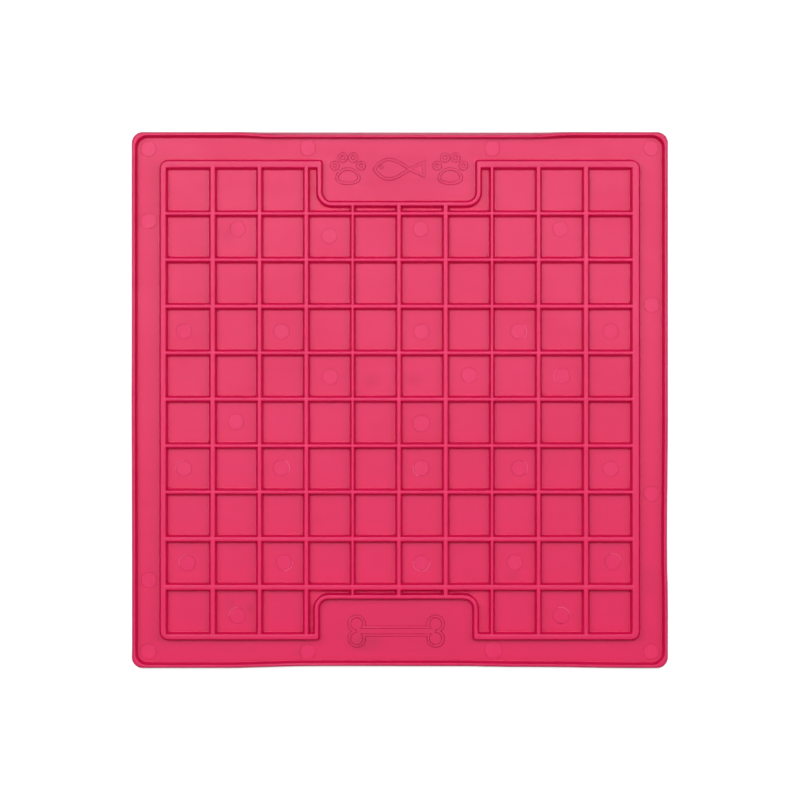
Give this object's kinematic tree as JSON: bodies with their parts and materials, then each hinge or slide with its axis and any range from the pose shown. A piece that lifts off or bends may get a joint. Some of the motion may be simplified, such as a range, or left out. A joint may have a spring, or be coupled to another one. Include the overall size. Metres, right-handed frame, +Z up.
{
  "type": "lick mat",
  "caption": "Square pink rubber lick mat: raised rim, a framed grid of low ribs making shallow treat cells, and a walled motif panel at each of two edges.",
  "frame": {"origin": "centre of the underside, on the surface that the mat lies on", "axes": "+Z up through the sheet, +Y towards the far edge, which is the upper edge in the picture, and +X to the right"},
  "size_m": [0.2, 0.2, 0.0058],
  "materials": {
    "pink_rubber": "satin moulded rubber"
  },
  "bodies": {
    "root": {"base_sheet": "pink_rubber", "rim_left": "pink_rubber", "rim_right": "pink_rubber", "rim_far": "pink_rubber", "rim_near": "pink_rubber", "rim_corners": "pink_rubber", "frame_left": "pink_rubber", "frame_right": "pink_rubber", "frame_far": "pink_rubber", "frame_near": "pink_rubber", "frame_corners": "pink_rubber", "far_panel_sides": "pink_rubber", "far_panel_bends": "pink_rubber", "far_panel_bar": "pink_rubber", "near_panel_sides": "pink_rubber", "near_panel_bends": "pink_rubber", "near_panel_bar": "pink_rubber", "panel_shoulders": "pink_rubber", "row_rib_1": "pink_rubber", "row_rib_2": "pink_rubber", "row_rib_3": "pink_rubber", "row_rib_4": "pink_rubber", "row_rib_5": "pink_rubber", "row_rib_6": "pink_rubber", "row_rib_7": "pink_rubber", "row_rib_8": "pink_rubber", "row_rib_9": "pink_rubber", "column_rib_1": "pink_rubber", "column_rib_2": "pink_rubber", "column_rib_3": "pink_rubber", "column_rib_4": "pink_rubber", "column_rib_5": "pink_rubber", "column_rib_6": "pink_rubber", "column_rib_7": "pink_rubber", "column_rib_8": "pink_rubber", "column_rib_9": "pink_rubber", "paw_motifs": "pink_rubber", "fish_motif": "pink_rubber", "bone_motif": "pink_rubber"}
  },
  "joints": []
}
